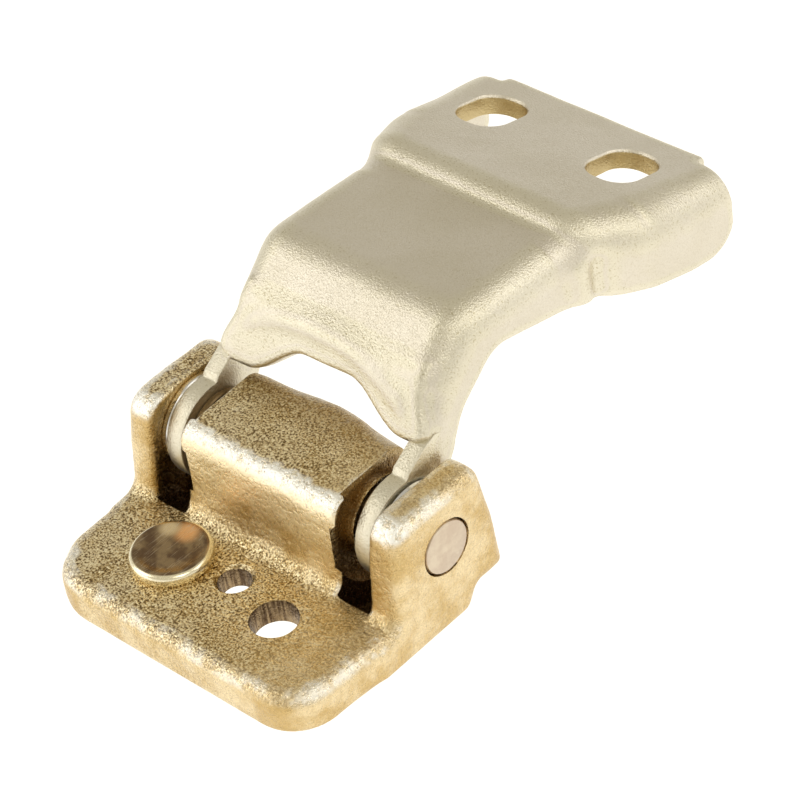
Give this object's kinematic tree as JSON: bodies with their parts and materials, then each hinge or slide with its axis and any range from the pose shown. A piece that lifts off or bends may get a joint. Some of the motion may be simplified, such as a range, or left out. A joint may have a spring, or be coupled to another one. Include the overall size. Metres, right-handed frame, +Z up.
{
  "type": "door hinge",
  "caption": "Forged body bracket with a pressed steel arm swinging on a pin, for hanging a vehicle door on its pillar.",
  "frame": {"origin": "on the bracket's mounting face, straight under the middle of the pin", "axes": "X along the pin, Y from the bracket's front edge towards the door, Z up from the pillar"},
  "size_m": [0.064, 0.119, 0.0475],
  "materials": {
    "forging": "yellow zinc plating on a pitted forging",
    "pressing": "pale yellow zinc plating, fine grain",
    "pin_steel": "ground pin end, satin",
    "bronze": "plain bearing bronze",
    "washer_steel": "bright zinc",
    "stud_steel": "polished head, yellow zinc"
  },
  "bodies": {
    "bracket": {"body_bracket": "forging", "hinge_pin": "pin_steel", "locating_stud": "stud_steel", "left_washer": "washer_steel", "right_washer": "washer_steel"},
    "arm": {"hinge_arm": "pressing", "left_bush": "bronze", "right_bush": "bronze"}
  },
  "joints": [
    {"name": "door_swing", "type": "hinge", "parent": "bracket", "child": "arm", "pos_m": [0, 0, 0.0166], "axis": [1, 0, 0], "range_deg": [-15, 75]}
  ]
}
